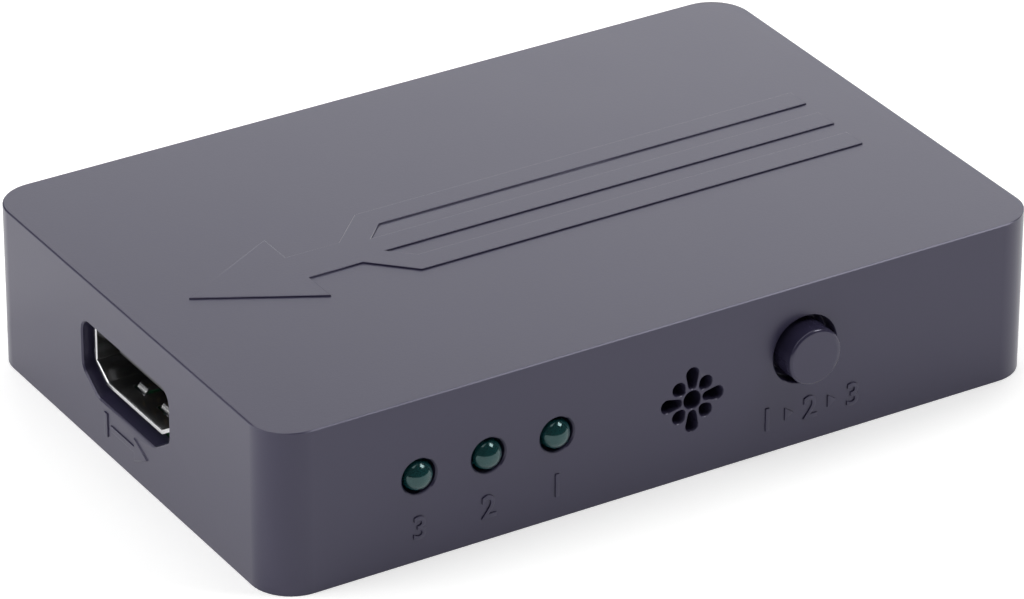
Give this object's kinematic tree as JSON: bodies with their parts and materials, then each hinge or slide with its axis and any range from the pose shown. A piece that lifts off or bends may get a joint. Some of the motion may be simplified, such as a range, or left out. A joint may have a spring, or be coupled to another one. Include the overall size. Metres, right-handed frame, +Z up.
{
  "type": "video switch box",
  "caption": "Small free-standing plastic box that passes one of its video sockets in to its socket out, with status lights and a push button.",
  "frame": {"origin": "centre of the flat underside", "axes": "+X to the right seen from the front, +Y to the back, +Z up"},
  "size_m": [0.0802, 0.0544, 0.0164],
  "materials": {
    "case_abs": "fine matt moulded",
    "button_abs": "satin moulded",
    "lens_epoxy": "clear tinted gloss",
    "port_steel": "nickel plated",
    "tinned_steel": "tin plated",
    "spring_steel": "bright",
    "screw_steel": "zinc plated",
    "contact_gold": "gold plated",
    "black_plastic": "matt moulded",
    "chip_epoxy": "matt moulded",
    "board_laminate": "solder mask",
    "can_aluminium": "drawn",
    "ceramic": "fired"
  },
  "bodies": {
    "case": {"top_cover": "case_abs", "base_plate": "case_abs", "case_screws": "screw_steel", "circuit_board": "board_laminate", "switch_body": "black_plastic", "switch_cover": "tinned_steel", "switch_dome": "spring_steel", "switch_leads": "tinned_steel", "infrared_receiver": "chip_epoxy", "infrared_receiver_leads": "tinned_steel", "switch_chip": "chip_epoxy", "switch_chip_pins": "tinned_steel", "control_chip": "chip_epoxy", "control_chip_pins": "tinned_steel", "regulator": "chip_epoxy", "regulator_leads": "tinned_steel", "bulk_capacitor_can": "can_aluminium", "bulk_capacitor_base": "black_plastic", "crystal_can": "tinned_steel", "chip_capacitors": "ceramic", "chip_resistors": "ceramic", "chip_end_caps": "tinned_steel", "output_port_shell": "port_steel", "output_port_insulator": "black_plastic", "output_port_contacts": "contact_gold", "input_1_port_shell": "port_steel", "input_1_port_insulator": "black_plastic", "input_1_port_contacts": "contact_gold", "input_2_port_shell": "port_steel", "input_2_port_insulator": "black_plastic", "input_2_port_contacts": "contact_gold", "input_3_port_shell": "port_steel", "input_3_port_insulator": "black_plastic", "input_3_port_contacts": "contact_gold", "led_1_lens": "lens_epoxy", "led_1_leads": "tinned_steel", "led_2_lens": "lens_epoxy", "led_2_leads": "tinned_steel", "led_3_lens": "lens_epoxy", "led_3_leads": "tinned_steel"},
    "button": {"select_button": "button_abs"},
    "plunger": {"switch_plunger": "black_plastic"}
  },
  "joints": [
    {"name": "button_press", "type": "slide", "parent": "case", "child": "button", "axis": [0, 1, 0], "range_m": [0, 0.0003], "stiffness_N_per_m": 5000, "deforming": ["switch_dome"]},
    {"name": "plunger_press", "type": "slide", "parent": "case", "child": "plunger", "axis": [0, 1, 0], "range_m": [0, 0.0003], "deforming": ["switch_dome"]}
  ],
  "couplings": [
    {"joint": "plunger_press", "follows": "button_press", "ratio": 1}
  ]
}
